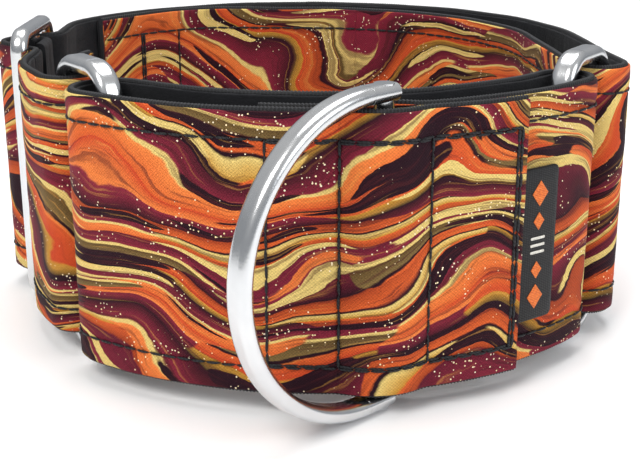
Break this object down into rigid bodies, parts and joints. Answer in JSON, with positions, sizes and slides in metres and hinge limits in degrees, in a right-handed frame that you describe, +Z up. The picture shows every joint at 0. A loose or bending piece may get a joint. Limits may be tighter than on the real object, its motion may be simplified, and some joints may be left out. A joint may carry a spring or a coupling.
{
  "type": "martingale dog collar",
  "caption": "Wide fabric martingale dog collar with a sliding adjuster, link rings, a leash D-ring in a stitched pocket and a side label.",
  "frame": {"origin": "centre of the bounding box, on the surface the rings stand on", "axes": "+Z up along the strap's width, -Y to the front where the leash D-ring is, +X to the right as seen from the front"},
  "size_m": [0.127, 0.1509, 0.0572],
  "materials": {
    "printed_cotton": "woven print",
    "black_webbing": "ribbed",
    "black_lining": "soft brushed",
    "black_thread": "twisted",
    "chrome": "polished",
    "woven_label": "satin woven"
  },
  "bodies": {
    "neck_rear": {"rear_outer_face": "printed_cotton", "rear_outer_webbing": "black_webbing", "rear_outer_lining": "black_lining", "rear_inner_face": "printed_cotton", "rear_inner_webbing": "black_webbing", "rear_inner_lining": "black_lining", "rear_seam_stitching": "black_thread"},
    "right_arm": {"right_arm_face": "printed_cotton", "right_arm_webbing": "black_webbing", "right_arm_lining": "black_lining"},
    "left_fold": {"left_fold_face": "printed_cotton", "left_fold_webbing": "black_webbing", "left_fold_lining": "black_lining"},
    "slider": {"slider_frame": "chrome", "slider_wrap": "black_webbing", "slider_strap_face": "printed_cotton", "slider_strap_webbing": "black_webbing", "slider_strap_lining": "black_lining"},
    "left_ring": {"left_link_ring": "chrome"},
    "right_ring": {"right_link_ring": "chrome"},
    "leash_pocket": {"pocket_top_face": "printed_cotton", "pocket_top_webbing": "black_webbing", "pocket_top_lining": "black_lining", "pocket_under_face": "printed_cotton", "pocket_under_webbing": "black_webbing", "pocket_under_lining": "black_lining", "pocket_stitching": "black_thread"},
    "leash_ring": {"leash_d_ring": "chrome"},
    "loop_left": {"loop_left_face": "printed_cotton", "loop_left_webbing": "black_webbing", "loop_left_lining": "black_lining", "loop_left_under_face": "printed_cotton", "loop_left_under_webbing": "black_webbing", "loop_left_under_lining": "black_lining", "loop_left_stitching": "black_thread"},
    "loop_right": {"loop_right_face": "printed_cotton", "loop_right_webbing": "black_webbing", "loop_right_lining": "black_lining", "loop_right_top_face": "printed_cotton", "loop_right_top_webbing": "black_webbing", "loop_right_top_lining": "black_lining", "loop_right_stitching": "black_thread"},
    "label": {"label_tab": "woven_label"}
  },
  "joints": [
    {"name": "cinch", "type": "slide", "parent": "neck_rear", "child": "leash_pocket", "axis": [0.1191, -0.9929, 0], "range_m": [0, 0.008]},
    {"name": "loop_left_bend", "type": "hinge", "parent": "leash_pocket", "child": "loop_left", "pos_m": [0.00649, -0.04797, 0.0286], "axis": [0, 0, 1], "range_deg": [-18, 0]},
    {"name": "loop_right_bend", "type": "hinge", "parent": "leash_pocket", "child": "loop_right", "pos_m": [0.02091, -0.04556, 0.0286], "axis": [0, 0, 1], "range_deg": [0, 15.6]},
    {"name": "left_fold_bend", "type": "hinge", "parent": "neck_rear", "child": "left_fold", "pos_m": [-0.05293, 0.00147, 0.0286], "axis": [0, 0, 1], "range_deg": [0, 12.2]},
    {"name": "right_arm_bend", "type": "hinge", "parent": "neck_rear", "child": "right_arm", "pos_m": [0.05407, 0.04028, 0.0286], "axis": [0, 0, 1], "range_deg": [-7.3, 0]},
    {"name": "left_ring_turn", "type": "hinge", "parent": "left_fold", "child": "left_ring", "pos_m": [-0.04198, -0.02279, 0.0286], "axis": [0, 0, 1], "range_deg": [-7.9, 0]},
    {"name": "right_ring_turn", "type": "hinge", "parent": "right_arm", "child": "right_ring", "pos_m": [0.05744, -0.01271, 0.0286], "axis": [0, 0, 1], "range_deg": [0, 14.4]},
    {"name": "leash_ring_swing", "type": "hinge", "parent": "leash_pocket", "child": "leash_ring", "pos_m": [0.01457, -0.05199, 0.0286], "axis": [0, 0, 1], "range_deg": [-3, 113]},
    {"name": "adjuster_slide", "type": "slide", "parent": "neck_rear", "child": "slider", "axis": [0, 1, 0], "range_m": [-0.003, 0.003]},
    {"name": "label_flap", "type": "hinge", "parent": "loop_right", "child": "label", "pos_m": [0.0383, -0.04422, 0.0286], "axis": [0, 0, 1], "range_deg": [-60, 0]}
  ],
  "couplings": [
    {"joint": "loop_left_bend", "follows": "cinch", "rad_per_m": -38.909},
    {"joint": "loop_right_bend", "follows": "cinch", "rad_per_m": 33.766},
    {"joint": "left_fold_bend", "follows": "cinch", "rad_per_m": 26.357},
    {"joint": "right_arm_bend", "follows": "cinch", "rad_per_m": -15.615},
    {"joint": "left_ring_turn", "follows": "cinch", "rad_per_m": -16.923},
    {"joint": "right_ring_turn", "follows": "cinch", "rad_per_m": 31.002}
  ]
}
